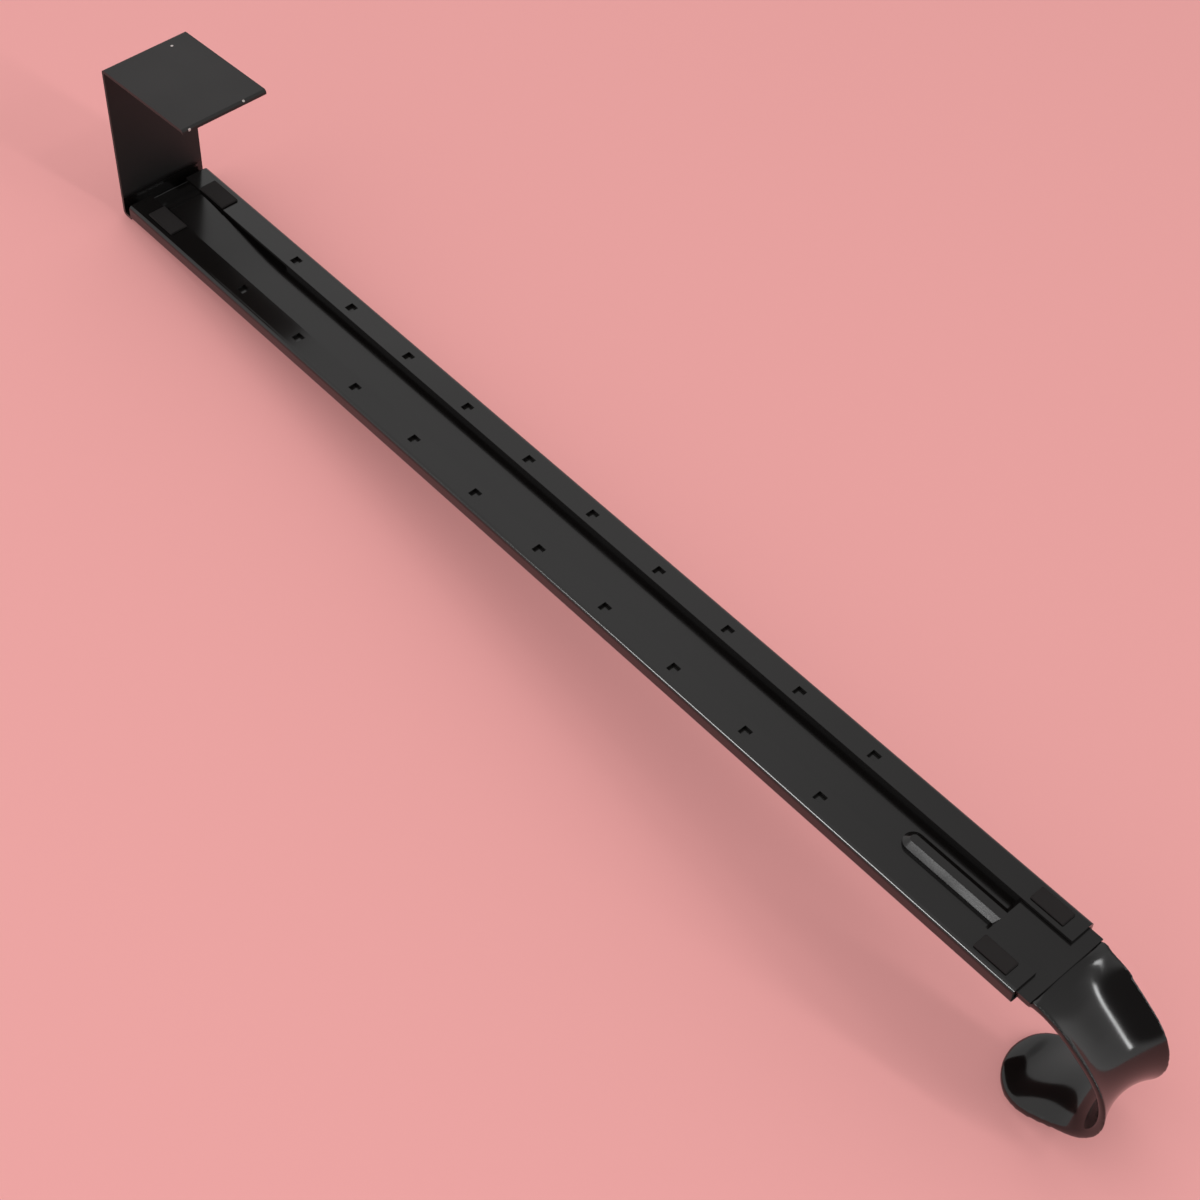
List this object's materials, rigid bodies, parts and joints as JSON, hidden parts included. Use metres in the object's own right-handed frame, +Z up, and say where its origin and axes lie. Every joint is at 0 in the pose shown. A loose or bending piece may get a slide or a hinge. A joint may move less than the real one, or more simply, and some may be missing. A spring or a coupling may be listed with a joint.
{
  "type": "adjustable over door hanger",
  "caption": "Folded steel strip that hooks over a door, with a slide that runs in its long channel and carries a curled hook.",
  "frame": {"origin": "middle of the top plate's underside, where it rests on the door's top edge", "axes": "+Z up, +Y through the door towards the flap, X across the strip"},
  "size_m": [0.028, 0.0947, 0.3774],
  "materials": {
    "satin_paint": "satin black paint on steel sheet, chipped at the flap's end",
    "gloss_hook": "smooth glossy black",
    "pad": "matte dark foam rubber"
  },
  "bodies": {
    "bracket": {"bracket_channel": "satin_paint", "upper_pad_left": "pad", "upper_pad_right": "pad", "lower_pad_left": "pad", "lower_pad_right": "pad"},
    "slide": {"slide_strip": "satin_paint", "hook": "gloss_hook"}
  },
  "joints": [
    {"name": "length_slide", "type": "slide", "parent": "bracket", "child": "slide", "axis": [0, 0, -1], "range_m": [0, 0.2286]}
  ]
}
